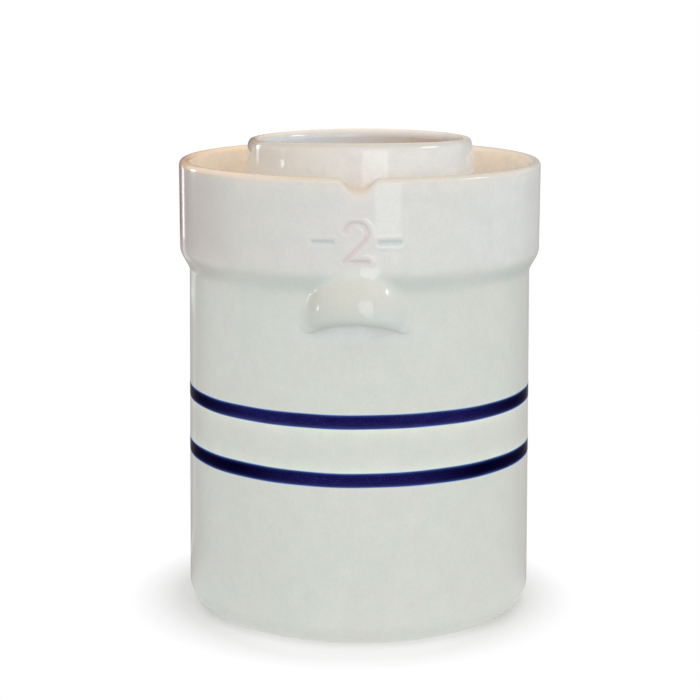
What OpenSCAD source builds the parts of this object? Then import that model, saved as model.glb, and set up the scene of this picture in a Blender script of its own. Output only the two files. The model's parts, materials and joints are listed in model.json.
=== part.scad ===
// A stoneware fermentation crock with a water gutter. The foot stands on Z = 0 about the Z axis, and
// the front, with the overflow notch and a lug, faces -Y. All sizes are in millimetres.

/* [Pot] */
// Outer diameter of the pot under the collar
pot_d = 226.5; // [200:0.5:280]
// How much further out the pot wall stands at its foot than under the collar
wall_flare = 2.25; // [0:0.25:6]
// Height of the ledge on which the collar sits
shoulder_z = 230; // [190:1:300]
// Thickness of the pot wall under the collar
wall_t = 10; // [7:0.5:14]
// Thickness of the base slab
base_t = 12; // [9:0.5:18]
// Radius of the rounded foot edge
foot_edge_r = 16; // [10:0.5:24]
// Width of the ring that the crock stands on
foot_ring_w = 14; // [8:0.5:30]
// Depth of the recess inside the foot ring
foot_recess = 1.5; // [0.5:0.1:3]

/* [Bands] */
// Height of each slip band
band_h = 9.6; // [4:0.2:16]
// Depth of the slip band in the wall
band_t = 0.8; // [0.4:0.1:2]
// How far the slip band stands out from the wall
band_proud = 0.2; // [0:0.05:0.6]
// Height of the middle of the lower band
lower_band_z = 111; // [60:0.5:120]
// Distance between the middles of the two bands
band_pitch = 37.5; // [24:0.5:60]

/* [Gutter] */
// How far the collar stands out from the pot wall
collar_overhang = 6.25; // [4:0.25:12]
// Height of the collar from its foot to its rim
collar_h = 71.5; // [55:0.5:100]
// Thickness of the collar
collar_t = 7.2; // [5:0.2:9]
// Height of the bevel at the collar's foot
bevel_h = 11; // [8:0.5:18]
// Thickness of the gutter's floor
gutter_floor_t = 12; // [8:0.5:18]
// Depth of the overflow notch
notch_depth = 8.5; // [6:0.5:14]
// Radius of the bottom of the overflow notch
notch_r = 5; // [3:0.5:6]

/* [Neck] */
// Diameter of the mouth inside the neck
mouth_d = 136; // [100:1:150]
// Thickness of the neck at its beaded lip
lip_t = 6.2; // [6:0.2:10]
// Thickness of the neck at the gutter's floor
neck_foot_t = 12; // [8:0.5:18]
// Height of the neck above the gutter's floor
neck_h = 68; // [50:0.5:95]
// Radius of the bead on the lip
bead_r = 5; // [4:0.2:6]

/* [Joints] */
// Height of the lap between the base slab and the wall
base_lap = 4; // [2:0.5:6]
// Height of the lap between the wall and the collar
shoulder_lap = 8; // [4:0.5:12]
// Height of the lap between the gutter's floor and the neck
neck_lap = 6; // [3:0.5:7]

/* [Lugs] */
// Width of a lug at its tips
lug_w = 64; // [40:1:90]
// Width of a lug where it leaves the collar
lug_top_w = 40; // [24:1:60]
// Height of a lug from the middle of its lip up to where it dies into the collar
lug_h = 36; // [28:0.5:50]
// How far a lug's middle stands out from the pot wall
lug_reach = 14; // [10:0.5:24]
// How much lower the lug's tips hang than the middle of its lip
lug_arch = 5.5; // [0:0.5:12]
// How much the underside of a lug rises towards the wall
lug_undercut = 3; // [0:0.5:6]
// How far above the bevel a lug dies into the collar
lug_die_in = 6; // [2:0.5:12]
// Roundness of a lug across its width: higher is flatter in the middle and steeper at the edges
lug_fullness = 2.4; // [2:0.1:4]

/* [Weights] */
// Thickness of a weight
weight_t = 18; // [10:0.5:30]
// Clearance between the weights and the mouth that they are lifted through
weight_clear = 3; // [1:0.5:8]
// Gap between the straight edges of the two weights
weight_gap = 1.2; // [0.6:0.2:4]
// Radius of the rounded edges of a weight
weight_edge_r = 4; // [2:0.5:4.5]
// Diameter of the finger hole that the two weights form
finger_hole_d = 26; // [18:1:40]

/* [Hidden] */
$fn = 96;

// Colours of the glaze, the slip and the bare clay
glaze = [0.83, 0.84, 0.82];
warm_glaze = [0.87, 0.84, 0.79];
slip = [0.09, 0.08, 0.30];
clay = [0.80, 0.75, 0.66];

// Pot
pot_top_r = pot_d / 2;
pot_foot_r = pot_top_r + wall_flare;
pot_in_r = pot_top_r - wall_t;
stand_r = pot_foot_r - foot_edge_r;
base_lap_z = base_t - base_lap;

// Shoulder: the wall's inner half stands up as a spigot, and the collar and the gutter's floor sit round
// it and on it.
spigot_r = pot_in_r + wall_t / 2;
spigot_top_z = shoulder_z + shoulder_lap;
gutter_z = spigot_top_z + gutter_floor_t;

// Collar
collar_r = pot_top_r + collar_overhang;
collar_in_r = collar_r - collar_t;
rim_z = shoulder_z + collar_h;
bevel_top_z = shoulder_z + bevel_h;

// Neck
mouth_r = mouth_d / 2;
lip_r = mouth_r + lip_t;
neck_foot_r = mouth_r + neck_foot_t;
neck_top_z = gutter_z + neck_h;
bead_z = neck_top_z - bead_r;
// The cone of the neck runs a little way into the bead, so that a crease is left under the bead: shares
// of the bead's radius by which the cone ends below the bead's middle and inside its face
tuck_drop = 0.4;
tuck_inset = 0.2;
tuck_z = bead_z - bead_r * tuck_drop;
tuck_r = lip_r - bead_r * tuck_inset;

// Lugs: the form starts inside the wall and ends inside the collar, and the vessel is cut from it.
lug_top_z = bevel_top_z + lug_die_in;
lug_lip_z = lug_top_z - lug_h;
lug_root_r = pot_top_r - lug_reach;
// The form runs past its own outline, so that its edges lie inside the wall.
lug_overrun = 1.1;
lug_columns = 24;
lug_rows = 12;
// Share of the lug's height at which it stands out furthest
lug_crest = 0.28;
// Shares of the full reach at the top and at the lip
lug_top_share = 0.3;
lug_lip_share = 0.86;

// Weights
weight_r = mouth_r - weight_clear;
finger_hole_r = finger_hole_d / 2;

// Radius of the pot wall's outer face at a height
function wall_r(z) = pot_foot_r + (pot_top_r - pot_foot_r) * (z - foot_edge_r) / (shoulder_z - foot_edge_r);

// A smooth step from 0 to 1
function ease(x) = x * x * (3 - 2 * x);

// Share of a lug's reach at a share of its height, from its lip at 0 to its top at 1
function lug_swell(t) =
    t < lug_crest
        ? 1 - (1 - lug_lip_share) * pow(1 - t / lug_crest, 2)
        : 1 - (1 - lug_top_share) * ease((t - lug_crest) / (1 - lug_crest));

// Half the width of a lug at a share of its height
function lug_half_w(t) = (lug_w + (lug_top_w - lug_w) * ease(t)) / 2;

// A point of a lug's front: s runs across it from -1 to 1 at its edges, and t runs up it
function lug_front(s, t) =
    let (lip_z = lug_lip_z - lug_arch * s * s)
    let (a = s * lug_half_w(t) / pot_top_r * 180 / PI)
    let (r = pot_top_r + lug_reach * (1 - pow(abs(s), lug_fullness)) * lug_swell(t))
    [r * sin(a), -r * cos(a), lip_z + t * (lug_top_z - lip_z)];

// The point of a lug's root, inside the wall, that lies behind a point of its front
function lug_root(p, t) =
    let (share = lug_root_r / norm([p.x, p.y]))
    [p.x * share, p.y * share, p.z + lug_undercut * (1 - t)];

// Outline of the pot's outside, from the axis to the wall's face
module pot_outline() {
    translate([stand_r, foot_edge_r]) circle(foot_edge_r);
    polygon([
        [0, 0],
        [stand_r, 0],
        [stand_r, foot_edge_r],
        [pot_foot_r, foot_edge_r],
        [wall_r(spigot_top_z), spigot_top_z],
        [0, spigot_top_z],
    ]);
}

// Section of a slip band whose middle is at height z
module band_section(z) {
    low = z - band_h / 2;
    high = z + band_h / 2;
    polygon([
        [wall_r(low) - band_t, low],
        [wall_r(low) + band_proud, low],
        [wall_r(high) + band_proud, high],
        [wall_r(high) - band_t, high],
    ]);
}

// The vessel's outside where a lug is luted on, as a solid
module lug_seat() {
    low_z = lug_lip_z - lug_h;
    rotate_extrude()
        polygon([
            [0, low_z],
            [wall_r(low_z), low_z],
            [pot_top_r, shoulder_z],
            [collar_r, bevel_top_z],
            [collar_r, rim_z],
            [0, rim_z],
        ]);
}

// A lug's whole form, with its root inside the wall
module lug_form() {
    last = lug_columns;
    across = lug_rows + 1;
    layer = (lug_columns + 1) * across;
    fronts = [
        for (i = [0:lug_columns], j = [0:lug_rows])
            lug_front(lug_overrun * (2 * i / lug_columns - 1), j / lug_rows)
    ];
    roots = [for (k = [0:layer - 1]) lug_root(fronts[k], (k % across) / lug_rows)];
    // The four corners of a cell of the grid, and the pairs of neighbours round the grid's rim
    cells = [
        for (i = [0:lug_columns - 1], j = [0:lug_rows - 1])
            [i * across + j, (i + 1) * across + j, (i + 1) * across + j + 1, i * across + j + 1]
    ];
    rim = concat(
        [for (i = [0:lug_columns - 1]) [i * across, (i + 1) * across]],
        [for (j = [0:lug_rows - 1]) [last * across + j, last * across + j + 1]],
        [for (i = [lug_columns:-1:1]) [i * across + lug_rows, (i - 1) * across + lug_rows]],
        [for (j = [lug_rows:-1:1]) [j, j - 1]]
    );
    polyhedron(
        concat(fronts, roots),
        concat(
            [for (c = cells) each [[c[0], c[2], c[1]], [c[0], c[3], c[2]]]],
            [for (c = cells) each [[c[0], c[1], c[2]] + layer * [1, 1, 1], [c[0], c[2], c[3]] + layer * [1, 1, 1]]],
            [for (e = rim) each [[e[0], e[1], e[1] + layer], [e[0], e[1] + layer, e[0] + layer]]]
        )
    );
}

module lug() {
    difference() {
        lug_form();
        lug_seat();
    }
}

// A half-moon weight: side is -1 for the left one and 1 for the right one
module weight(side) {
    translate([0, 0, base_t])
        difference() {
            rotate_extrude() {
                square([weight_r - weight_edge_r, weight_t]);
                translate([0, weight_edge_r]) square([weight_r, weight_t - 2 * weight_edge_r]);
                for (z = [weight_edge_r, weight_t - weight_edge_r])
                    translate([weight_r - weight_edge_r, z]) circle(weight_edge_r);
            }
            translate([side * (weight_gap / 2 - weight_r) - weight_r, -weight_r, 0])
                cube([2 * weight_r, 2 * weight_r, weight_t]);
            cylinder(h = weight_t, r = finger_hole_r);
        }
}

module base_slab() {
    color(clay)
        rotate_extrude()
            difference() {
                union() {
                    intersection() {
                        pot_outline();
                        square([pot_foot_r, base_lap_z]);
                    }
                    square([pot_in_r, base_t]);
                }
                square([stand_r - foot_ring_w, foot_recess]);
            }
}

module pot_wall() {
    color(glaze)
        rotate_extrude()
            difference() {
                intersection() {
                    pot_outline();
                    translate([pot_in_r, base_lap_z]) square([pot_foot_r, spigot_top_z - base_lap_z]);
                }
                translate([spigot_r, shoulder_z]) square([pot_foot_r, shoulder_lap]);
                band_section(lower_band_z);
                band_section(lower_band_z + band_pitch);
            }
}

module gutter_floor() {
    color(warm_glaze)
        rotate_extrude()
            difference() {
                translate([mouth_r, spigot_top_z]) square([collar_in_r - mouth_r, gutter_floor_t]);
                translate([mouth_r, gutter_z - neck_lap]) square([neck_foot_t, neck_lap]);
            }
}

module gutter_collar() {
    color(glaze)
        difference() {
            rotate_extrude() {
                translate([collar_r - collar_t / 2, rim_z - collar_t / 2]) circle(collar_t / 2);
                polygon([
                    [spigot_r, shoulder_z],
                    [pot_top_r, shoulder_z],
                    [collar_r, bevel_top_z],
                    [collar_r, rim_z - collar_t / 2],
                    [collar_in_r, rim_z - collar_t / 2],
                    [collar_in_r, spigot_top_z],
                    [spigot_r, spigot_top_z],
                ]);
            }
            overflow_notch();
        }
}

// A rounded bottom with sides that leave it at 45 degrees, cut through the front of the collar
module overflow_notch() {
    middle_z = rim_z - notch_depth + notch_r;
    side = notch_r * cos(45);
    top_z = rim_z + notch_r;
    rotate([90, 0, 0])
        linear_extrude(height = collar_r + collar_t) {
            translate([0, middle_z]) circle(notch_r);
            polygon([
                [-side, middle_z - side],
                [side, middle_z - side],
                [2 * side + top_z - middle_z, top_z],
                [-2 * side - top_z + middle_z, top_z],
            ]);
        }
}

module neck_ring() {
    color(warm_glaze)
        rotate_extrude()
            intersection() {
                union() {
                    translate([lip_r - bead_r, bead_z]) circle(bead_r);
                    polygon([
                        [mouth_r, gutter_z - neck_lap],
                        [neck_foot_r, gutter_z - neck_lap],
                        [neck_foot_r, gutter_z],
                        [tuck_r, tuck_z],
                        [lip_r - bead_r, bead_z],
                        [lip_r - bead_r, neck_top_z],
                        [mouth_r, neck_top_z],
                    ]);
                }
                translate([mouth_r, gutter_z - neck_lap]) square([neck_foot_r, neck_h + neck_lap]);
            }
}

module front_lug() {
    color(glaze) lug();
}

module rear_lug() {
    color(glaze) rotate([0, 0, 180]) lug();
}

module upper_band() {
    color(slip) rotate_extrude() band_section(lower_band_z + band_pitch);
}

module lower_band() {
    color(slip) rotate_extrude() band_section(lower_band_z);
}

module left_weight() {
    color(clay) weight(-1);
}

module right_weight() {
    color(clay) weight(1);
}

base_slab();
pot_wall();
gutter_floor();
gutter_collar();
neck_ring();
front_lug();
rear_lug();
upper_band();
lower_band();
left_weight();
right_weight();
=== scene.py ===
"""A stoneware fermentation crock with a water gutter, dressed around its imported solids.

Lengths are metres in the frame's axes. The crock's axis is Z, and its front, with the overflow notch
and a lug, faces -Y. Angles round the axis are 0 at the front and grow towards +X.
"""

import json
import math

import bmesh
import bpy
import numpy as np
from mathutils import Matrix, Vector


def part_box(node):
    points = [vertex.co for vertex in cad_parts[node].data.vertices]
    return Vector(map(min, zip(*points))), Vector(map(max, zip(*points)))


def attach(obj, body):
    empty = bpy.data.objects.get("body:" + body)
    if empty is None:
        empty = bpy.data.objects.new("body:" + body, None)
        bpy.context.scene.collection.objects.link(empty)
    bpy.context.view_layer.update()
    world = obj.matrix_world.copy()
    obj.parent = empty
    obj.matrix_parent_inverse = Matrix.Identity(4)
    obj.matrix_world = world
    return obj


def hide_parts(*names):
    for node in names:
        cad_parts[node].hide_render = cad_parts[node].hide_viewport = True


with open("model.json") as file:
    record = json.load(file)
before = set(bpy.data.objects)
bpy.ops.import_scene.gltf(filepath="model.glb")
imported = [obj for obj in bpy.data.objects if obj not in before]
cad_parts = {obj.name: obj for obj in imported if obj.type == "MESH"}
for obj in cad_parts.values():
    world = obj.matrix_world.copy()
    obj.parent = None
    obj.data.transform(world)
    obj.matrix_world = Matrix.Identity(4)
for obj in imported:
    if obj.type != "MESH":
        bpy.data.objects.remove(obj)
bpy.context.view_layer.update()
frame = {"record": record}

MM = 0.001


# Sizes that the frame gives


def outer_radius(node):
    """Outer radius of a node about the crock's axis."""
    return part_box(node)[1].x


def heights(node):
    """Lowest and highest point of a node."""
    low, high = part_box(node)
    return low.z, high.z


# How far the collar's glaze stays inside its solid
COLLAR_INSET = 0.05 * MM

mounts = {mount["name"]: mount for mount in frame["record"]["mounts"]}
pot_floor_z = heights("base_slab")[1]
base_top_z, spigot_top_z = heights("pot_wall")
shoulder_z, rim_z = heights("gutter_collar")
neck_low_z, neck_top_z = heights("neck_ring")
gutter_z = mounts["gutter_seat"]["pos_m"][2]
mouth_r = mounts["mouth"]["dims"]["r_mm"] * MM
pot_foot_r = outer_radius("pot_wall")
collar_r = outer_radius("gutter_collar") - COLLAR_INSET
collar_in_r = outer_radius("gutter_floor")
neck_foot_r = outer_radius("neck_ring")
collar_t = collar_r - collar_in_r

# Sizes of the vessel that no box shows
WALL_FLARE = 2.25 * MM
WALL_T = 10 * MM
FOOT_EDGE_R = 16 * MM
FOOT_RING_W = 14 * MM
FOOT_RECESS = 1.5 * MM
BEVEL_H = 11 * MM
LIP_T = 6.2 * MM
LIP_RISE = 6 * MM
NOTCH_DEPTH = 8.5 * MM
NOTCH_R = 9 * MM
NOTCH_SLOPE = math.radians(48)
NOTCH_SHOULDER = 3.5 * MM
NOTCH_SHIFT = 1.2 * MM
# Share of its depth by which the notch is shallower at the collar's inner face
NOTCH_SLANT = 0.17
# How far below the rim the notch still bends the collar's faces
NOTCH_FADE = 24 * MM

pot_top_r = pot_foot_r - WALL_FLARE
pot_in_r = pot_top_r - WALL_T
spigot_r = pot_in_r + WALL_T / 2
stand_r = pot_foot_r - FOOT_EDGE_R
bead_z = neck_top_z - LIP_RISE
lip_r = mouth_r + LIP_T
# The middle of the foot's round edge, and its angle, in degrees, at which the base meets the wall
foot_middle = (stand_r, FOOT_EDGE_R)
foot_joint = -math.degrees(math.asin((FOOT_EDGE_R - base_top_z) / FOOT_EDGE_R))

# Lugs. The shoulder and the fullness are exponents, and the overrun is a share of the half width
LUG_TOP_Z = shoulder_z + BEVEL_H + 8 * MM
LUG_LIP_Z = shoulder_z + BEVEL_H - 30 * MM
LUG_W = 67 * MM
LUG_TOP_W = 28 * MM
LUG_SHOULDER = 2.2
LUG_REACH = 13.9 * MM
LUG_ARCH = 6.2 * MM
LUG_CREST = 5.5 * MM
LUG_LIP_ROUND = 6.5 * MM
LUG_UNDERCUT = 2.5 * MM
LUG_DOME_R = 43 * MM
LUG_FULLNESS = 2.3
LUG_BLEND = 6.5 * MM
LUG_CORNER = 5 * MM
LUG_OVERRUN = 1.27
LUG_ROOT = 2 * MM
LUG_ROWS = 50
LUG_COLUMNS = 101

# Roundings that the glaze gives the corners
COVE = 2.2 * MM
COLLAR_EDGE = 2.6 * MM
BEAD_SWELL = 1.0 * MM
BEAD_SPREAD = 8.5 * MM
NECK_CURVE = 1.6
# How far the neck's rim has sagged at its back, at both sides, and more to the left than to the right
RIM_SAG_BACK = 3.7 * MM
RIM_SAG_SIDES = 1.15 * MM
RIM_SAG_LEFT = 0.45 * MM
GUTTER_FILLET = 4 * MM
POT_FILLET = 6 * MM
FOOT_RING_ROUND = 0.6 * MM
# How far one skin lies under another where it feathers out
FEATHER = 0.012 * MM


# Shapes


def smooth_max(a, b, reach):
    """The larger of a and b, with the corner between them rounded where they differ by less than reach."""
    near = np.maximum(reach - np.abs(a - b), 0) / reach
    return np.maximum(a, b) + reach * near**3 / 6


def smooth_min(a, b, reach):
    return -smooth_max(-a, -b, reach)


def ease(x):
    """A smooth step from 0 to 1."""
    x = np.clip(x, 0, 1)
    return x * x * (3 - 2 * x)


def ramp(x, start, length):
    """A smooth step from 0 to 1 that begins at start and takes a length."""
    return ease((x - start) / length)


def hump(x, middle, width):
    """A soft hump of height 1 about a middle."""
    return np.exp(-(((x - middle) / width) ** 2))


def wall_r(z):
    """Radius of the pot wall's outer face at a height."""
    return pot_foot_r - WALL_FLARE * (z - FOOT_EDGE_R) / (shoulder_z - FOOT_EDGE_R)


def outside_r(z):
    """Radius of the vessel's outside at a height: the wall, a cove, the bevel and the collar's face."""
    bevel = pot_top_r + (z - shoulder_z) * (collar_r - pot_top_r) / BEVEL_H
    return smooth_min(smooth_max(wall_r(z), bevel, COVE), collar_r, COLLAR_EDGE)


def neck_r(z):
    """Radius of the neck's outer face at a height: a flare that runs softly into the bead."""
    flare = 1 - (1 - (bead_z - z) / (bead_z - gutter_z)) ** NECK_CURVE
    swell = hump(z, bead_z + BEAD_SPREAD / 2, BEAD_SPREAD) / hump(0, BEAD_SPREAD / 2, BEAD_SPREAD)
    return lip_r - BEAD_SWELL + (neck_foot_r - lip_r + BEAD_SWELL) * flare + BEAD_SWELL * swell


ARC_STEP = 3


def arc(middle, radius, start, end, step=ARC_STEP, count=None):
    """Points of an arc in a plane, with its angles in degrees."""
    count = count or max(3, math.ceil(abs(end - start) / step) + 1)
    angles = np.radians(np.linspace(start, end, count))
    return np.column_stack([middle[0] + radius * np.cos(angles), middle[1] + radius * np.sin(angles)])


def rows(radius_at, low, high, step):
    """Points (r, z) of a face from low to high, where its radius is a function of height."""
    z = np.linspace(low, high, math.ceil(abs(high - low) / step) + 1)
    return np.column_stack([radius_at(z), z])


def upright_face(r, start, end, step):
    """Points (r, z) of an upright face from one height to another."""
    return rows(lambda z: np.full_like(z, r), start, end, step)


def level_face(z, start, end, step):
    """Points (r, z) of a level face from one radius to another."""
    return upright_face(z, start, end, step)[:, ::-1]


def split(outline, step):
    """A closed outline with its long sides split into steps."""
    points = []
    for start, end in zip(outline, np.roll(outline, -1, 0)):
        count = max(1, math.ceil(np.linalg.norm(end - start) / step))
        points += [start + (end - start) * i / count for i in range(count)]
    return np.array(points)


def columns(fine_half, fine_step, step):
    """Angles round the axis, closer together at the front and at the back."""
    front = np.arange(-fine_half, fine_half, fine_step)
    side = np.linspace(fine_half, 180 - fine_half, math.ceil((180 - 2 * fine_half) / step), endpoint=False)
    return np.radians(np.concatenate([front, side, front + 180, side + 180]))


def revolve(outline, angles):
    """Rings of points: one for each point (r, z) of the outline, carried round the axis."""
    r, z = np.asarray(outline).T
    ones = np.ones_like(angles)
    return np.stack([np.outer(r, np.sin(angles)), -np.outer(r, np.cos(angles)), np.outer(z, ones)], -1)


def at_angles(r, angle, z):
    """Points from radius, angle and height."""
    return np.stack([r * np.sin(angle), -r * np.cos(angle), z], -1)


def heights_and_radii(points):
    """Height of points, and their distance from the axis."""
    return points[..., 2], np.hypot(points[..., 0], points[..., 1])


def from_front(angles):
    """Angles taken to half a turn on either side of the front."""
    return (angles + math.pi) % (2 * math.pi) - math.pi


def grid_cells(index):
    """The four corners of each cell in a grid of point numbers."""
    return np.stack([index[:-1, :-1], index[1:, :-1], index[1:, 1:], index[:-1, 1:]], -1).reshape(-1, 4)


def add_object(name, data):
    """A new object in the scene."""
    obj = bpy.data.objects.new(name, data)
    bpy.context.scene.collection.objects.link(obj)
    return obj


SHARP_ANGLE = math.radians(38)


def solid(name, points, faces):
    """A mesh object with its faces turned outwards, smooth apart from its sharp edges."""
    mesh = bpy.data.meshes.new(name)
    mesh.from_pydata(points.reshape(-1, 3).tolist(), [], faces)
    work = bmesh.new()
    work.from_mesh(mesh)
    bmesh.ops.recalc_face_normals(work, faces=work.faces)
    work.to_mesh(mesh)
    work.free()
    mesh.shade_smooth()
    mesh.set_sharp_from_angle(angle=SHARP_ANGLE)
    return add_object(name, mesh)


def loft(name, rings, closed):
    """A closed solid through rings of points: the last joins the first, or else both ends are capped."""
    count, around = rings.shape[:2]
    index = np.arange(count * around).reshape(count, around)
    here = index if closed else index[:-1]
    there = np.roll(index, -1, 0) if closed else index[1:]
    faces = np.stack([here, np.roll(here, -1, 1), np.roll(there, -1, 1), there], -1).reshape(-1, 4).tolist()
    if not closed:
        faces += [index[0].tolist(), index[-1].tolist()]
    return solid(name, rings, faces)


def slab(name, front, back):
    """A closed solid between two grids of points, joined along their rims."""
    index = np.arange(front.shape[0] * front.shape[1]).reshape(front.shape[:2])
    cells = grid_cells(index)
    rim = np.concatenate([index[0, :-1], index[:-1, -1], index[-1, :0:-1], index[:0:-1, 0]])
    after = np.roll(rim, -1)
    sides = np.stack([rim, rim + index.size, after + index.size, after], -1)
    faces = np.vstack([cells, cells + index.size, sides]).tolist()
    return solid(name, np.stack([front, back]), faces)


def stand_for(obj, node, body, slot, material, **tints):
    """Puts a piece in a node's place, with its material and the shares of tint at its points."""
    for tint, values in tints.items():
        layer = obj.data.attributes.new(tint, "FLOAT", "POINT")
        layer.data.foreach_set("value", np.ascontiguousarray(values, np.float32).ravel())
    obj.data.materials.append(material)
    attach(obj, body)
    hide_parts(node)
    return obj


# Materials


# The range that most of a noise lies in
NOISE_LOW = 0.3
NOISE_HIGH = 0.7


class Finish:
    """A node material, built from short calls. Numbers are fixed values and sockets are links."""

    def __init__(self, name):
        self.material = bpy.data.materials.new(name)
        self.material.use_nodes = True
        self.tree = self.material.node_tree
        self.shader = self.tree.nodes["Principled BSDF"]
        self.place = self.tree.nodes.new("ShaderNodeTexCoord").outputs["Object"]

    def feed(self, socket, value):
        """Gives a socket a fixed value or a link."""
        if isinstance(value, bpy.types.NodeSocket):
            self.tree.links.new(value, socket)
        else:
            socket.default_value = value

    def noise(self, scale, detail=2.0, roughness=0.5, stretch=None):
        """A noise from 0 to 1, whose scale is its number of features in a metre."""
        node = self.tree.nodes.new("ShaderNodeTexNoise")
        place = self.place
        if stretch:
            mapping = self.tree.nodes.new("ShaderNodeMapping")
            mapping.inputs["Scale"].default_value = stretch
            self.feed(mapping.inputs["Vector"], place)
            place = mapping.outputs["Vector"]
        self.feed(node.inputs["Vector"], place)
        self.feed(node.inputs["Scale"], scale)
        self.feed(node.inputs["Detail"], detail)
        self.feed(node.inputs["Roughness"], roughness)
        return node.outputs["Fac"]

    def tint(self, name):
        """The share of a tint at the mesh's points, and 0 where a piece has none."""
        node = self.tree.nodes.new("ShaderNodeAttribute")
        node.attribute_name = name
        return node.outputs["Fac"]

    def level(self, value, low, high, to_low, to_high):
        """A value's range from low to high taken to another range."""
        node = self.tree.nodes.new("ShaderNodeMapRange")
        keys = ("Value", "From Min", "From Max", "To Min", "To Max")
        for key, number in zip(keys, (value, low, high, to_low, to_high)):
            self.feed(node.inputs[key], number)
        return node.outputs["Result"]

    def spread(self, noise, to_low, to_high):
        """A noise's usual range taken to another range."""
        return self.level(noise, NOISE_LOW, NOISE_HIGH, to_low, to_high)

    def math(self, operation, a, b, clamp=False):
        """A sum, a product or the like, which can be kept from 0 to 1."""
        node = self.tree.nodes.new("ShaderNodeMath")
        node.operation = operation
        node.use_clamp = clamp
        self.feed(node.inputs[0], a)
        self.feed(node.inputs[1], b)
        return node.outputs["Value"]

    def mix(self, share, a, b, kind="MIX"):
        """Colour a with a share of colour b."""
        node = self.tree.nodes.new("ShaderNodeMix")
        node.data_type = "RGBA"
        node.blend_type = kind
        for key, value in ((0, share), (6, a), (7, b)):
            if isinstance(value, tuple):
                value = (*value, 1.0)
            self.feed(node.inputs[key], value)
        return node.outputs[2]

    def bump(self, height, strength, distance):
        """Makes the surface look raised by a height."""
        node = self.tree.nodes.new("ShaderNodeBump")
        node.inputs["Strength"].default_value = strength
        node.inputs["Distance"].default_value = distance
        self.feed(node.inputs["Height"], height)
        self.feed(self.shader.inputs["Normal"], node.outputs["Normal"])

    def finish(self, colour, roughness, ior):
        """The material, with its colour and its gloss."""
        self.feed(self.shader.inputs["Base Color"], colour)
        self.feed(self.shader.inputs["Roughness"], roughness)
        self.shader.inputs["IOR"].default_value = ior
        return self.material


# Colours of the glaze: on the body in two casts; a warm tone, in the gutter partly thinner glaze and partly
# painted warm bounce light, and low on the neck painted warm shade; a pale painted light on the neck, in
# the gutter and on the lugs' lips; where it runs thin at edges; a painted warm shade, brown inside the
# neck; a painted cool light and reflection; where clay shows through it, which also paints shade on tops
# that face the light;
# where it pools, which also paints shade on faces turned down; beside the bands; and in the numeral, whose
# pink also tints the collar's face and paints a warm reflection on its left. Then the cobalt slip of the
# bands, whose deepest tone paints shade towards their sides, the bare clay of the foot and the salt glaze
# of the weights
GLAZE_GREEN = (0.614, 0.641, 0.595)
GLAZE_ROSE = (0.637, 0.636, 0.599)
GLAZE_WARM = (0.990, 0.860, 0.710)
GLAZE_MILKY = (0.755, 0.750, 0.735)
GLAZE_THIN = (0.980, 0.610, 0.310)
GLAZE_TOAST = (0.625, 0.420, 0.275)
GLAZE_COOL = (0.868, 0.918, 0.985)
GLAZE_FAWN = (0.500, 0.450, 0.380)
GLAZE_POOL = (0.520, 0.620, 0.605)
GLAZE_CREAM = (0.745, 0.780, 0.680)
GLAZE_BLUSH = (0.680, 0.600, 0.600)
SLIP_DEEP = (0.001, 0.0003, 0.015)
SLIP_BLUE = (0.0065, 0.0042, 0.055)
SLIP_LIGHT = (0.0125, 0.010, 0.090)
SLIP_SPECK = (0.030, 0.036, 0.160)
SLIP_WORN = (0.045, 0.038, 0.135)
SLIP_EDGE = (0.050, 0.085, 0.340)
SLIP_FRINGE = (0.340, 0.580, 0.800)
CLAY_PALE = (0.520, 0.440, 0.330)
CLAY_DARK = (0.400, 0.320, 0.230)
SALT_PALE = (0.640, 0.600, 0.520)
SALT_DARK = (0.520, 0.470, 0.390)
SALT_THIN = (0.620, 0.450, 0.300)
SALT_SPECK = (0.180, 0.120, 0.070)

# Gloss of the finishes. The slip lies under its glaze, and mirrors next to nothing of the studio
GLAZE_IOR = 1.42
SLIP_IOR = 1.03
CLAY_IOR = 1.45
SALT_IOR = 1.5
GLAZE_ROUGHNESS = (0.06, 0.10)
SLIP_ROUGHNESS = (0.07, 0.12)
CLAY_ROUGHNESS = (0.75, 0.95)
SALT_ROUGHNESS = (0.26, 0.40)

# Slow ripples in the glaze, over the bands too
RIPPLE_SCALE = 26
RIPPLE_STRENGTH = 0.10
RIPPLE_DEPTH = 1.4 * MM


def glaze():
    """Glossy off-white glaze, mottled in casts and specks, with tints where it is thin, pooled or warm,
    some of which paint light and shade.
    """
    f = Finish("glaze")
    cast = f.level(f.noise(16, 3.0), 0.38, 0.62, 0.1, 0.9)
    mottle = f.spread(f.noise(95, 2.0), -0.45, 0.45)
    fleck = f.spread(f.noise(300, 2.0), -0.7, 0.7)
    cast = f.math("ADD", cast, f.math("ADD", mottle, fleck), clamp=True)
    cloud = f.noise(75, 4.0, 0.6)
    speck = f.noise(620, 2.0, 0.7)
    colour = f.mix(cast, GLAZE_GREEN, GLAZE_ROSE)
    uneven = f.spread(cloud, 0.78, 1.12)
    for tint, tone in (
        ("milky", GLAZE_MILKY),
        ("cool", GLAZE_COOL),
        ("warm", GLAZE_WARM),
        ("cream", GLAZE_CREAM),
        ("pool", GLAZE_POOL),
        ("blush", GLAZE_BLUSH),
        ("fawn", GLAZE_FAWN),
        ("toast", GLAZE_TOAST),
        ("thin", GLAZE_THIN),
    ):
        colour = f.mix(f.math("MULTIPLY", f.tint(tint), uneven, clamp=True), colour, tone)
    shade = f.math("MULTIPLY", f.spread(cloud, 0.975, 1.02), f.spread(speck, 0.97, 1.02))
    colour = f.mix(1.0, colour, shade, "MULTIPLY")
    ripple = f.math("ADD", f.noise(RIPPLE_SCALE, 2.0), f.level(f.noise(210, 2.0), 0, 1, 0, 0.10))
    f.bump(ripple, RIPPLE_STRENGTH, RIPPLE_DEPTH)
    return f.finish(colour, f.spread(cloud, *GLAZE_ROUGHNESS), GLAZE_IOR)


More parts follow.
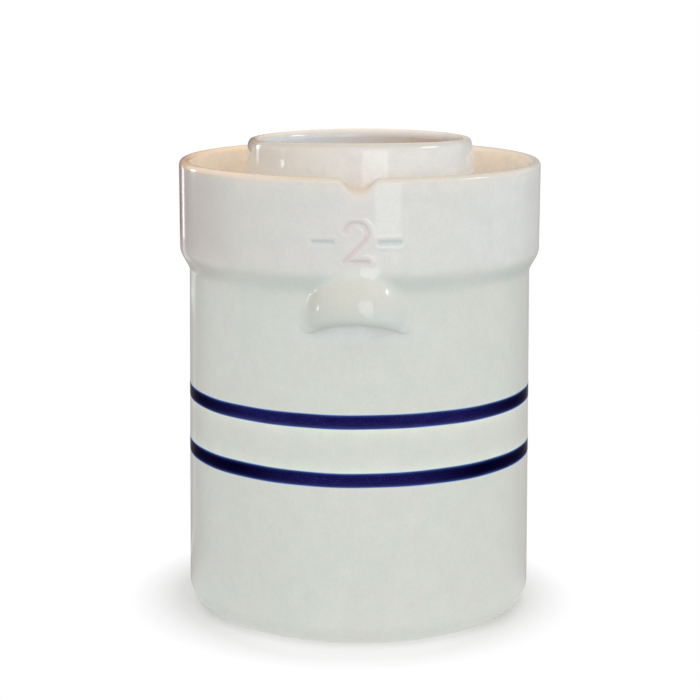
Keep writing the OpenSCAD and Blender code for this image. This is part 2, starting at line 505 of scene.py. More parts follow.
def slip():
    """Cobalt slip under the glaze: deep blue with fine specks, and paler where it thins at its edges."""
    f = Finish("slip")
    brushed = f.noise(60, 4.0, 0.6, stretch=(1, 1, 6))
    speck = f.level(f.noise(900, 2.0, 0.7), 0.52, 0.68, 0, 0.45)
    colour = f.mix(f.spread(brushed, 0, 0.8), SLIP_BLUE, SLIP_LIGHT)
    colour = f.mix(speck, colour, SLIP_SPECK)
    colour = f.mix(f.tint("deep"), colour, SLIP_DEEP)
    worn = f.math("MULTIPLY", f.tint("worn"), f.spread(brushed, 0.5, 1.2), clamp=True)
    colour = f.mix(worn, colour, SLIP_WORN)
    edge = f.math("MULTIPLY", f.tint("thin"), f.spread(brushed, 0.6, 1.1), clamp=True)
    colour = f.mix(edge, colour, SLIP_EDGE)
    colour = f.mix(f.tint("fringe"), colour, SLIP_FRINGE)
    f.bump(f.noise(RIPPLE_SCALE, 2.0), RIPPLE_STRENGTH, RIPPLE_DEPTH)
    return f.finish(colour, f.spread(brushed, *SLIP_ROUGHNESS), SLIP_IOR)


def clay():
    """Bare fired clay of the foot: matt, sandy and unevenly toasted."""
    f = Finish("bare_clay")
    grain = f.noise(800, 3.0, 0.7)
    colour = f.mix(f.level(f.noise(40, 4.0), 0.35, 0.65, 0, 1), CLAY_PALE, CLAY_DARK)
    colour = f.mix(1.0, colour, f.spread(grain, 0.82, 1.1), "MULTIPLY")
    f.bump(grain, 0.5, 0.4 * MM)
    return f.finish(colour, f.spread(grain, *CLAY_ROUGHNESS), CLAY_IOR)


def salt_glaze():
    """Thin satin glaze of the weights: creamy stoneware with iron specks and an orange-peel skin."""
    f = Finish("salt_glaze")
    cloud = f.noise(55, 4.0, 0.6)
    speck = f.level(f.noise(520, 2.0, 0.6), 0.64, 0.70, 0, 1)
    colour = f.mix(f.level(cloud, 0.32, 0.68, 0, 1), SALT_PALE, SALT_DARK)
    rubbed = f.math("MULTIPLY", f.tint("thin"), f.spread(cloud, 0.3, 0.8), clamp=True)
    colour = f.mix(rubbed, colour, SALT_THIN)
    colour = f.mix(f.math("MULTIPLY", speck, 0.7), colour, SALT_SPECK)
    f.bump(f.noise(320, 3.0), 0.22, 0.6 * MM)
    return f.finish(colour, f.spread(cloud, *SALT_ROUGHNESS), SALT_IOR)


glaze_finish = glaze()
slip_finish = slip()
clay_finish = clay()
weight_finish = salt_glaze()

# Pieces

# Columns round the axis, in degrees, which are finer within an angle of the front and of the back
COLUMN_STEP = 1.25
FINE_STEP = 0.22
FINE_HALF = 19
even_columns = columns(0, COLUMN_STEP, COLUMN_STEP)
fine_columns = columns(FINE_HALF, FINE_STEP, COLUMN_STEP)

# Rows on plain faces and inside the pot, and steps of arcs at the foot, in degrees
PLAIN_ROW = 12 * MM
INSIDE_ROW = 20 * MM
FOOT_STEP = 1.5
FOOT_RING_STEP = 15

# Radius of the caps in the middle of the base, and how far bare clay reaches onto the foot's round edge
CAP_R = 5 * MM
BARE_REACH = 3 * MM
# Share of the warm tint inside the pot
INSIDE_WARM = 0.75


def make_base():
    """The base slab: a bare foot ring and recess, the lower part of the round foot and the pot's floor."""
    ring_in_r = stand_r - FOOT_RING_W
    recess_r = ring_in_r - FOOT_RECESS
    outline = np.vstack([
        level_face(FOOT_RECESS, CAP_R, recess_r, PLAIN_ROW),
        arc((recess_r, FOOT_RECESS - FOOT_RING_ROUND), FOOT_RING_ROUND, 90, 45, FOOT_RING_STEP),
        arc((ring_in_r, FOOT_RING_ROUND), FOOT_RING_ROUND, 225, 270, FOOT_RING_STEP),
        arc(foot_middle, FOOT_EDGE_R, -90, foot_joint, FOOT_STEP),
        [(pot_in_r, base_top_z)],
        arc((pot_in_r - POT_FILLET, pot_floor_z + POT_FILLET), POT_FILLET, 0, -90),
        level_face(pot_floor_z, pot_in_r - 2 * POT_FILLET, CAP_R, PLAIN_ROW),
    ])
    rings = revolve(outline, even_columns)
    z, r = heights_and_radii(rings)
    obj = loft("base", rings, closed=False)
    inside = ramp(z, pot_floor_z - MM, MM) * (r < pot_in_r + MM)
    stand_for(
        obj, "base_slab", "crock", "glaze", glaze_finish,
        warm=INSIDE_WARM * inside,
        pool=0.25 * inside * hump(r, pot_in_r - 2 * MM, 4 * MM),
    )
    obj.data.materials.append(clay_finish)
    bare_r = stand_r + BARE_REACH
    for face in obj.data.polygons:
        middle = face.center
        if middle.z < FOOT_RECESS + 0.1 * MM and math.hypot(middle.x, middle.y) < bare_r:
            face.material_index = 1


# How far beyond the bands the wall has close rows, and how far the cream between them and the halo
# outside them reach
BAND_MARGIN = 8 * MM
CREAM_REACH = 4 * MM
HALO_OFFSET = 0.6 * MM
HALO_REACH = 1.2 * MM


def make_wall():
    """The pot's wall, with close rows beside the bands, where the glaze changes its tone."""
    low_out, low_in = heights("lower_band")
    high_in, high_out = heights("upper_band")
    close_low = low_out - BAND_MARGIN
    close_high = high_out + BAND_MARGIN
    outline = np.vstack([
        arc(foot_middle, FOOT_EDGE_R, foot_joint, 0, FOOT_STEP),
        rows(wall_r, FOOT_EDGE_R, close_low, PLAIN_ROW)[1:],
        rows(wall_r, close_low, close_high, 1 * MM)[1:],
        rows(wall_r, close_high, shoulder_z, 6 * MM)[1:],
        [(spigot_r, shoulder_z), (spigot_r, spigot_top_z), (pot_in_r, spigot_top_z)],
        upright_face(pot_in_r, spigot_top_z, base_top_z, INSIDE_ROW)[1:],
    ])
    rings = revolve(outline, fine_columns)
    z, r = heights_and_radii(rings)
    obj = loft("wall", rings, closed=True)
    outside = r > pot_top_r - MM
    between = (z > low_in - MM) & (z < high_in + MM)
    cream = np.exp(-(z - low_in) / CREAM_REACH) + np.exp(-(high_in - z) / CREAM_REACH)
    halo = hump(z, low_out - HALO_OFFSET, HALO_REACH) + hump(z, high_out + HALO_OFFSET, HALO_REACH)
    under_lugs = hump(z, LUG_LIP_Z - 5 * MM, 7 * MM) * hump(rings[..., 0], 0, 0.4 * LUG_W)
    # Under the lugs, painted cool light on the wall, where their lips shade it.
    stand_for(
        obj, "pot_wall", "crock", "glaze", glaze_finish,
        warm=INSIDE_WARM * ~outside,
        cream=outside * (np.where(between, np.clip(0.85 * cream, 0, 1), 0.10 * halo)),
        pool=outside * cove_pool(z),
        cool=0.42 * outside * under_lugs,
    )


# The numeral pressed into the collar, between two dashes
MARK_Z = 262 * MM
MARK_H = 24 * MM
MARK_W = 14 * MM
DASH_FROM = 15 * MM
DASH_TO = 27 * MM
STROKE = 2.1 * MM
STROKE_DEPTH = 1.0 * MM
STROKE_RIDGE = 0.15 * MM
# How far the close rows reach beyond the numeral, and how far the glaze's tint reaches, in strokes
MARK_MARGIN = 3 * MM
STROKE_TINT = 1.6


def numeral_two():
    """The line of a plain 2: a bow, a slanting stroke and a foot."""
    bow_r = MARK_W / 2
    bow = arc((0, MARK_H / 2 - bow_r), bow_r, 165, -38, 8)
    foot = [(-MARK_W / 2, -MARK_H / 2), (MARK_W / 2, -MARK_H / 2)]
    return np.vstack([bow, foot])


def distance_to(line, points):
    """Distance of points to a line through its corners."""
    nearest = np.full(points.shape[:-1], np.inf)
    for start, end in zip(line[:-1], line[1:]):
        along = end - start
        share = np.clip((points - start) @ along / (along @ along), 0, 1)
        nearest = np.minimum(nearest, np.linalg.norm(points - start - share[..., None] * along, axis=-1))
    return nearest


def groove(distance):
    """Share of a stroke's depth at a distance from its line."""
    return 1 - ease(distance / STROKE)


def notch_drop(along):
    """How far the rim dips at a distance along it from the middle of the notch: a round-bottomed V."""
    along = np.abs(along)
    bottom_half = NOTCH_R * math.sin(NOTCH_SLOPE)
    bottom = NOTCH_R - np.sqrt(np.maximum(NOTCH_R**2 - along**2, 0))
    flank = NOTCH_R * (1 - math.cos(NOTCH_SLOPE)) + (along - bottom_half) * math.tan(NOTCH_SLOPE)
    rise = np.where(along < bottom_half, bottom, flank)
    return smooth_max(NOTCH_DEPTH - rise, 0 * rise, NOTCH_SHOULDER)


def flame_side(points):
    """1 on the left and 0 on the right, for tints that differ from side to side, painted reflections and
    shade among them.
    """
    x, y = points[..., 0], points[..., 1]
    return 0.5 - 0.5 * x / np.hypot(x, y)


def cove_pool(z):
    """Share of pooled glaze and painted shade on the bevel under the collar, which faces down."""
    return 0.35 * hump(z, shoulder_z + BEVEL_H / 2, 4 * MM)


def collar_cast(points):
    """Shares of blush and of painted cool on the collar's face: a pink tone with a painted warm reflection
    that grows to the left, and a painted cool reflection to the right. They fade out on the bevel.
    """
    flame = flame_side(points)
    on_face = ramp(points[..., 2], shoulder_z + BEVEL_H - 5 * MM, 14 * MM)
    return on_face * (0.12 + 0.25 * flame + 0.5 * flame**16), on_face * 0.22 * (1 - flame) ** 1.5


# The tongue of glaze that runs from the collar down onto the wall
TONGUE_H = 5 * MM
TONGUE_T = 0.3 * MM


def make_collar():
    """The collar: a tongue that feathers onto the wall, a bevel, a round rim with a notch, the numeral."""
    tongue_z = shoulder_z - TONGUE_H
    mark_low = MARK_Z - MARK_H / 2 - MARK_MARGIN
    mark_high = MARK_Z + MARK_H / 2 + MARK_MARGIN
    rim_round = collar_t / 2
    face_top_z = rim_z - rim_round
    outline = np.vstack([
        [(spigot_r, shoulder_z), (pot_top_r - TONGUE_T, shoulder_z)],
        [(wall_r(tongue_z) - TONGUE_T, tongue_z)],
        rows(outside_r, tongue_z, mark_low, 0.8 * MM),
        rows(outside_r, mark_low, mark_high, 0.5 * MM)[1:],
        rows(outside_r, mark_high, face_top_z, 1.0 * MM)[1:],
        arc((collar_r - rim_round, face_top_z), rim_round, 0, 180, 7.5)[1:],
        upright_face(collar_in_r, face_top_z, spigot_top_z, 2.5 * MM)[1:],
        [(spigot_r, spigot_top_z)],
    ])
    r, angle = np.meshgrid(outline[:, 0], fine_columns, indexing="ij")
    z = np.repeat(outline[:, 1:], len(fine_columns), 1)
    turn = from_front(angle)
    along = turn * collar_r
    front = np.abs(turn) < math.radians(FINE_HALF)
    outer = (r > collar_r - 0.6 * rim_round) & (z > tongue_z)
    place = np.stack([along, z - MARK_Z], -1)
    two = distance_to(numeral_two(), place)
    dashes = distance_to(np.array([(DASH_FROM, 0), (DASH_TO, 0)]), np.abs(place))
    stroke = np.minimum(two, dashes)
    marked = front & outer & (z > mark_low) & (z < mark_high)
    press = groove(stroke) * STROKE_DEPTH - STROKE_RIDGE * hump(stroke, 1.6 * STROKE, 0.6 * STROKE)
    feather = FEATHER * (1 - ramp(z, tongue_z, 2 * MM)) * (r > pot_top_r - 0.1 * MM)
    inward = np.clip((collar_r - r) / collar_t, 0, 1)
    drop = np.where(front, notch_drop(along - NOTCH_SHIFT) * (1 - NOTCH_SLANT * inward), 0)
    lowered = z - drop * ramp(z, rim_z - NOTCH_FADE, NOTCH_FADE - rim_round)
    rings = at_angles(r - marked * press - feather, angle, lowered)
    obj = loft("collar", rings, closed=True)
    # The rim's rounding runs from 0 outside over 90 on top to 180 degrees inside
    over = np.degrees(np.arctan2(np.maximum(z - face_top_z, 0), r - (collar_r - rim_round)))
    on_rim = z > face_top_z - MM
    inner = ramp(over, 60, 90) * (z > shoulder_z + BEVEL_H)
    flame = flame_side(rings)
    blush_cast, cool_cast = collar_cast(rings)
    flush = 0.30 * hump(over, 85, 45) + 0.45 * hump(over, 140, 24) + 0.42 * flame**4 * hump(over, 35, 38)
    depth = ease((face_top_z - z) / (face_top_z - gutter_z)) * (r < collar_in_r + 0.3 * MM)
    # Tints: thin glaze on the rim's edges, with a painted warm reflection that makes it stronger to the
    # left, and amber low in the gutter on the left; painted shade on the rim's top, which faces the light,
    # with clay showing through, fading out to the left, and painted shade on the far left of the face; in
    # the gutter and about the rim a warm tone, partly thinner glaze and partly painted warm bounce light,
    # and a pale painted light on the gutter's side; painted warm shade on the bevel at the left; painted
    # cool reflection on the face's right; pooled glaze in the dashes, and pooled glaze with painted shade
    # on the bevel, which faces down; the numeral's pink, and the face's pink with a painted warm reflection
    # growing to the left.
    stand_for(
        obj, "gutter_collar", "crock", "glaze", glaze_finish,
        thin=np.clip(flush * (0.25 + 0.95 * flame) * on_rim + 0.2 * flame * depth, 0, 1),
        fawn=0.95 * hump(over, 80, 50) * (1 - ramp(flame, 0.6, 0.35)) * on_rim + 0.3 * outer * flame**6,
        warm=np.clip(inner * (0.8 + 0.2 * flame) + 0.25 * hump(rim_z - z, 0, 7 * MM), 0, 1),
        milky=inner,
        toast=0.35 * flame**8 * hump(z, shoulder_z + BEVEL_H / 2, 5 * MM) * (r > pot_top_r - MM),
        cool=outer * cool_cast,
        pool=np.clip(
            (z < shoulder_z + BEVEL_H + 5 * MM) * cove_pool(z)
            + marked * 0.9 * (1 - ease(dashes / (STROKE_TINT * STROKE))),
            0, 1,
        ),
        blush=marked * 0.8 * (1 - ease(two / (STROKE_TINT * STROKE))) + outer * blush_cast,
    )


def make_gutter():
    """The gutter's floor, which the glaze rounds into the collar and the neck."""
    fillet_z = gutter_z + GUTTER_FILLET
    lean = math.degrees(math.atan2(neck_foot_r - neck_r(fillet_z), GUTTER_FILLET))
    fillet_r = neck_r(fillet_z) + GUTTER_FILLET * math.cos(math.radians(lean))
    outline = np.vstack([
        [(mouth_r, spigot_top_z), (collar_in_r, spigot_top_z)],
        arc((collar_in_r - GUTTER_FILLET, fillet_z), GUTTER_FILLET, 0, -90),
        arc((fillet_r, fillet_z), GUTTER_FILLET, -90, -180 + lean),
        [(neck_foot_r, neck_low_z), (mouth_r, neck_low_z)],
    ])
    rings = revolve(split(outline, 6 * MM), even_columns)
    z, r = heights_and_radii(rings)
    obj = loft("gutter", rings, closed=True)
    corner = hump(r, collar_in_r, 6 * MM) + hump(r, neck_foot_r, 6 * MM)
    # A warm tone all over, partly thinner glaze and partly painted warm bounce light; pooled glaze in the
    # corners.
    stand_for(
        obj, "gutter_floor", "crock", "warm_glaze", glaze_finish,
        warm=np.ones_like(z),
        pool=0.35 * corner * (z > gutter_z - MM),
    )


def rim_sag(angle):
    """How far the neck's rim lies below its highest point, which is at the front."""
    tilt = RIM_SAG_BACK * (1 - np.cos(angle)) / 2
    return tilt + RIM_SAG_SIDES * np.sin(angle) ** 2 + RIM_SAG_LEFT * (0.1 - np.sin(angle))


# Rows on the neck, closer in the stretch below its bead
NECK_ROW = 3 * MM
BEAD_ROW = 0.8 * MM
BEAD_STRETCH = 20 * MM


def make_neck():
    """The neck: a flared wall, a full round lip that has sagged a little, and a straight bore."""
    lip_half = LIP_T / 2
    lip = arc((0, 0), 1, 0, 180, 6) * (lip_half, LIP_RISE) + (mouth_r + lip_half, bead_z)
    outline = np.vstack([
        [(mouth_r, neck_low_z), (neck_foot_r, neck_low_z)],
        rows(neck_r, gutter_z, bead_z - BEAD_STRETCH, NECK_ROW),
        rows(neck_r, bead_z - BEAD_STRETCH, bead_z, BEAD_ROW)[1:],
        lip[1:],
        upright_face(mouth_r, bead_z, neck_low_z, NECK_ROW)[1:],
    ])
    rings = revolve(outline[:-1], even_columns)
    z, r = heights_and_radii(rings.copy())
    rings[..., 2] -= rim_sag(even_columns) * ramp(z, gutter_z, neck_top_z - gutter_z)
    obj = loft("neck", rings, closed=True)
    flame = flame_side(rings)
    below_lip = neck_top_z - z
    inside = r < mouth_r + lip_half
    # The lip's rounding runs from 0 outside over 90 on top to 180 degrees inside
    over = np.degrees(np.arctan2((z - bead_z) / LIP_RISE, (r - mouth_r - lip_half) / lip_half))
    on_lip = z > bead_z
    deep = ramp(below_lip, 14 * MM, 45 * MM)
    # Tints: thin glaze on the lip's top, and amber low on the outside; painted light over the whole neck,
    # which the gutter shades from below; painted cool reflection inside under the lip, and painted cool
    # light on the outside's right; a warm tone at the lip's inner edge, and painted warm shade low on the
    # outside; painted warm shade inside, heavier to the right, and on the outside's upper left; painted
    # shade on the lip's top, which faces the light, with clay showing through.
    stand_for(
        obj, "neck_ring", "crock", "warm_glaze", glaze_finish,
        thin=0.25 * hump(over, 100, 30) * on_lip + 0.14 * ~inside * ramp(below_lip, 19 * MM, 11 * MM),
        milky=np.ones_like(z),
        cool=np.where(inside, ramp(below_lip, 1.5 * MM, 4 * MM), 0.3 * (1 - flame) ** 1.5),
        warm=np.where(inside, 0.4 * hump(below_lip, 0, 2.5 * MM), 0.6 * deep),
        toast=np.where(
            inside,
            np.clip(1.05 - 1.15 * flame, 0, 0.97) * ramp(below_lip, 0.5 * MM, 5.5 * MM),
            0.30 * flame**2 * (1 - deep),
        ),
        fawn=0.75 * hump(over, 62, 33) * on_lip,
    )


def lug_path():
    """How far a lug's middle stands out from the pot, and at what height, from its top round its lip."""
    crest_z = LUG_LIP_Z + LUG_CREST
    z = np.linspace(LUG_TOP_Z, crest_z, LUG_ROWS)
    face = np.column_stack([LUG_REACH - (z - crest_z) ** 2 / (2 * LUG_DOME_R), z])
    lip_squash = LUG_CREST / LUG_LIP_ROUND
    lip = arc((0, 0), LUG_LIP_ROUND, 0, -90, 5)[1:] * (1, lip_squash) + (LUG_REACH - LUG_LIP_ROUND, crest_z)
    under_x = np.linspace(LUG_REACH - LUG_LIP_ROUND, -1.5 * MM, 12)[1:]
    rise = 1 - under_x / (LUG_REACH - LUG_LIP_ROUND)
    under = np.column_stack([under_x, LUG_LIP_Z + LUG_UNDERCUT * rise**2])
    return np.vstack([face, lip, under])


def make_lug(name, node, turn):
    """A lug that swells out of the collar's bevel and hooks under in an arched lip."""
    out, height = lug_path().T
    rise = np.clip((height - LUG_LIP_Z) / (LUG_TOP_Z - LUG_LIP_Z), 0, 1)
    curl = np.maximum.accumulate(np.clip(1 - (height - LUG_LIP_Z) / LUG_CREST, 0, 1))
    width = LUG_W + (LUG_TOP_W - LUG_W) * rise**LUG_SHOULDER
    half_w = width / 2 - LUG_CORNER * (1 - np.sqrt(1 - curl**2))
    # The share of the half width at which the skin has sunk nearly level with the vessel
    edge = np.ones_like(out)
    for _ in range(8):
        base_r = outside_r(height - LUG_ARCH * edge**2 * (1 - rise))
        sunk = (base_r - pot_top_r - 0.75 * LUG_BLEND) / np.maximum(out, LUG_BLEND)
        edge = np.clip(1 - sunk, 0, LUG_OVERRUN) ** (1 / LUG_FULLNESS)
    shown = edge > 0.1
    out, height, rise, half_w, edge = (row[shown] for row in (out, height, rise, half_w, edge))
    s = np.outer(np.sin(np.linspace(-math.pi / 2, math.pi / 2, LUG_COLUMNS)), edge)
    z = height - LUG_ARCH * s**2 * (1 - rise)
    own_r = pot_top_r + np.where(np.abs(s) < 1, out, LUG_REACH) * (1 - np.abs(s) ** LUG_FULLNESS)
    r = smooth_max(own_r, outside_r(z), LUG_BLEND)
    angle = s * half_w / pot_top_r + turn
    root_z = z[:, :1] + (z.min(1, keepdims=True) - z[:, :1]) * np.linspace(0, 1, len(out))
    root = at_angles(outside_r(root_z) - LUG_ROOT, angle, root_z)
    skin = at_angles(r, angle, z)
    obj = slab(name, skin, root)
    proud = r - outside_r(z)
    on_lug = ease(proud / (6 * MM))
    lip = hump(height, LUG_LIP_Z + 4 * MM, 7 * MM) * on_lug
    # Pooled glaze with painted shade at the bevel, and painted shade on the lip, which faces down
    pool = np.clip(cove_pool(z) * (1 - ease(proud / (4 * MM))) + 0.52 * lip, 0, 1)
    # Painted shade on the lug's proud face, which faces the light, with clay showing through, less on the
    # right half; and painted light on the lip, most towards its ends, which face down
    fawn = 0.30 * on_lug * (1 - 0.9 * ease(s / 0.7))
    milky = 0.55 * hump(height, LUG_LIP_Z + MM, 4.5 * MM) * ease(proud / (3 * MM)) * (0.3 + 0.7 * np.abs(s))
    # Pink with painted warm and cool reflections, as on the collar's face
    blush, cool = collar_cast(skin)
    # Amber on the upper part: glaze thinning over the lug, and painted warm light where its face turns up
    thin = 0.03 * on_lug * ramp(height, LUG_LIP_Z + 6 * MM, 12 * MM)
    tints = {"milky": milky, "pool": pool, "fawn": fawn, "blush": blush, "cool": cool, "thin": thin}
    layers = {tint: np.stack([share, np.zeros_like(share)]) for tint, share in tints.items()}
    stand_for(obj, node, "crock", "glaze", glaze_finish, **layers)


# Bands: how far they stand out of the wall and reach into it, the softness and the brush's wobble of
# their edges, and the angle, in degrees, over which the slip turns to its deepest tone, a painted shade
BAND_PROUD = 0.12 * MM
BAND_DEPTH = 0.4 * MM
BAND_SOFTEN = 0.5 * MM
BAND_WOBBLE = 0.16 * MM
BAND_DEEP_FADE = 35


def make_band(name, node, deep_from, wear, swell):
    """A slip band: a thin ring, a little proud of the wall, with soft edges and a brush's wobble.

    The slip is palest in front, and from an angle onwards, in degrees, it turns to its deepest tone, a
    painted shade towards the sides. It wears thin along its lower edge, and its upper edge swells halfway
    between the front and the sides.
    """
    low, high = heights(node)
    z = np.concatenate([
        [low],
        np.linspace(low, low + 4 * BAND_SOFTEN, 11),
        np.linspace(low + 5 * BAND_SOFTEN, high - 5 * BAND_SOFTEN, 7),
        np.linspace(high - 4 * BAND_SOFTEN, high, 11),
        [high],
    ])
    edge = np.minimum(z - low, high - z)
    rise = np.clip(edge / BAND_SOFTEN, 0, 1)
    stand_out = BAND_PROUD * np.sqrt(rise * (2 - rise))
    stand_out[0] = -BAND_DEPTH
    stand_out[-1] = -BAND_DEPTH
    angles = even_columns
    waves = np.sin(3 * angles + 1.1) + 0.6 * np.sin(7 * angles + low / MM) + 0.4 * np.sin(16 * angles)
    wobble = BAND_WOBBLE * waves
    r = np.repeat((wall_r(z) + stand_out)[:, None], len(angles), 1)
    stretch = np.outer((z - low) / (high - low), swell * np.sin(2 * angles) ** 2)
    rings = at_angles(r, np.tile(angles, (len(z), 1)), z[:, None] + wobble + stretch)
    obj = loft(name, rings, closed=True)
    around = np.ones_like(angles)
    # Painted shade: the slip darkens towards the sides.
    deep = ramp(np.abs(np.degrees(from_front(angles))), deep_from, BAND_DEEP_FADE)
    stand_for(
        obj, node, "crock", "slip", slip_finish,
        worn=np.outer(wear * hump(z, low, 2.4 * MM), 1 - 0.7 * deep),
        thin=np.outer(hump(edge, 0, 1.1 * MM), around),
        fringe=np.outer(0.9 * hump(edge, 0, 0.35 * MM), around),
        deep=np.outer(np.ones_like(edge), deep),
    )


WEIGHT_EDGE_R = 4 * MM
WEIGHT_CORNER_R = 4 * MM
WEIGHT_HOLE_R = 13 * MM


def half_moon(outer_r, straight_x, hole_r):
    """Outline of a half moon right of the axis, with round corners and a hollow for a finger."""
    corner_x = straight_x + WEIGHT_CORNER_R
    rim_y = math.sqrt((outer_r - WEIGHT_CORNER_R) ** 2 - corner_x**2)
    hole_y = math.sqrt((hole_r + WEIGHT_CORNER_R) ** 2 - corner_x**2)
    rim_angle = math.degrees(math.atan2(rim_y, corner_x))
    hole_angle = math.degrees(math.atan2(hole_y, corner_x))
    upper = np.vstack([
        arc((0, 0), outer_r, 0, rim_angle, count=36)[:-1],
        arc((corner_x, rim_y), WEIGHT_CORNER_R, rim_angle, 180, count=10),
        arc((corner_x, hole_y), WEIGHT_CORNER_R, 180, 180 + hole_angle, count=10),
        arc((0, 0), hole_r, hole_angle, 0, count=18)[1:],
    ])
    lower = upper[::-1] * (1, -1)
    return np.vstack([upper, lower[1:-1]])


def make_weight(name, node, side):
    """A half-moon weight with rounded edges all round. Side is -1 on the left and 1 on the right."""
    low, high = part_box(node)
    outer_r = max(abs(low.x), abs(high.x))
    straight_x = min(abs(low.x), abs(high.x))
    quarter = np.radians(np.linspace(0, 90, 9))
    inset = WEIGHT_EDGE_R * (1 - np.sin(quarter))
    lift = WEIGHT_EDGE_R * (1 - np.cos(quarter))
    insets = np.concatenate([inset, inset[::-1]])
    levels = np.concatenate([low.z + lift, high.z - lift[::-1]])
    rings = []
    for d, z in zip(insets, levels):
        outline = half_moon(outer_r - d, straight_x + d, WEIGHT_HOLE_R + d)
        rings.append(np.column_stack([side * outline[:, 0], outline[:, 1], np.full(len(outline), z)]))
    rings = np.array(rings)
    obj = loft(name, rings, closed=False)
    rubbed = hump(insets, 0.3 * WEIGHT_EDGE_R, 0.25 * WEIGHT_EDGE_R)
    thin = np.repeat(rubbed[:, None], rings.shape[1], 1)
    stand_for(obj, node, node, "weight_glaze", weight_finish, thin=thin)


make_base()
make_wall()
make_collar()
make_gutter()
make_neck()
make_lug("lug_front", "front_lug", 0)
make_lug("lug_back", "rear_lug", math.pi)
make_band("band_upper", "upper_band", 30, 0.7, 0)
make_band("band_lower", "lower_band", 10, 0.35, 0.8 * MM)
make_weight("weight_left", "left_weight", -1)
make_weight("weight_right", "right_weight", 1)

# Stage, light and camera

WHITE = (1.0, 1.0, 1.0, 1.0)
AMBIENT = (0.98, 1.0, 1.0, 1.0)
HORIZON_LEVEL = 0.70
ZENITH_LEVEL = 1.14

# The floor as it is seen: the tone that takes the shadow, and painted light: where that shadow fades to
# white, and how far it is lifted towards white in front of the foot
FLOOR_HALF = 6.0
FLOOR_SHADE = (0.850, 0.839, 0.837, 1.0)
FLOOR_SHADE_MIDDLE = (-0.005, 0, 0)
FLOOR_WHITE_FROM = 0.117
FLOOR_WHITE_TO = 0.152
FLOOR_LIFT = 0.44
FLOOR_LIFT_MIDDLE = (0, -0.075, 0)
FLOOR_LIFT_FROM = 0.060
FLOOR_LIFT_TO = 0.100
# The light that the floor gives the crock, far off and at the foot, and the share that it throws back
FLOOR_GLOW = 0.70
FOOT_GLOW = 1.0
FOOT_GLOW_FROM = 0.100
FOOT_GLOW_TO = 0.150
FLOOR_BOUNCE = 0.06


def seen_rays(tree):
    """A socket that is 1 for rays from the camera, in reflections and through glass, and 0 for light."""
    path = tree.nodes.new("ShaderNodeLightPath")
    seen = path.outputs["Is Camera Ray"]
    for name in ("Is Glossy Ray", "Is Transmission Ray"):
        add = tree.nodes.new("ShaderNodeMath")
        add.operation = "MAXIMUM"
        tree.links.new(seen, add.inputs[0])
        tree.links.new(path.outputs[name], add.inputs[1])
        seen = add.outputs["Value"]
    return seen


def make_world():
    """White where it is seen, and otherwise a soft light that is a little stronger from above."""
    world = bpy.data.worlds.new("studio")
    bpy.context.scene.world = world
    world.use_nodes = True
    tree = world.node_tree
    light = tree.nodes["Background"]
    light.inputs["Color"].default_value = AMBIENT
    place = tree.nodes.new("ShaderNodeTexCoord")
    parts = tree.nodes.new("ShaderNodeSeparateXYZ")
    level = tree.nodes.new("ShaderNodeMapRange")
    level.inputs["To Min"].default_value = HORIZON_LEVEL
    level.inputs["To Max"].default_value = ZENITH_LEVEL
    tree.links.new(place.outputs["Generated"], parts.inputs["Vector"])
    tree.links.new(parts.outputs["Z"], level.inputs["Value"])
    tree.links.new(level.outputs["Result"], light.inputs["Strength"])
    backdrop = tree.nodes.new("ShaderNodeBackground")
    backdrop.inputs["Color"].default_value = WHITE
    mix = tree.nodes.new("ShaderNodeMixShader")
    tree.links.new(seen_rays(tree), mix.inputs["Fac"])
    tree.links.new(light.outputs["Background"], mix.inputs[1])
    tree.links.new(backdrop.outputs["Background"], mix.inputs[2])
    tree.links.new(mix.outputs["Shader"], tree.nodes["World Output"].inputs["Surface"])


def ranged(tree, middle, start, end, share_at_start, share_at_end):
    """A socket that goes from one share to another between two distances from a middle on the floor."""
    place = tree.nodes.new("ShaderNodeTexCoord")
    away = tree.nodes.new("ShaderNodeVectorMath")
    away.operation = "DISTANCE"
    away.inputs[1].default_value = middle
    tree.links.new(place.outputs["Object"], away.inputs[0])
    level = tree.nodes.new("ShaderNodeMapRange")
    keys = ("From Min", "From Max", "To Min", "To Max")
    for key, number in zip(keys, (start, end, share_at_start, share_at_end)):
        level.inputs[key].default_value = number
    tree.links.new(away.outputs["Value"], level.inputs["Value"])
    return level.outputs["Result"]


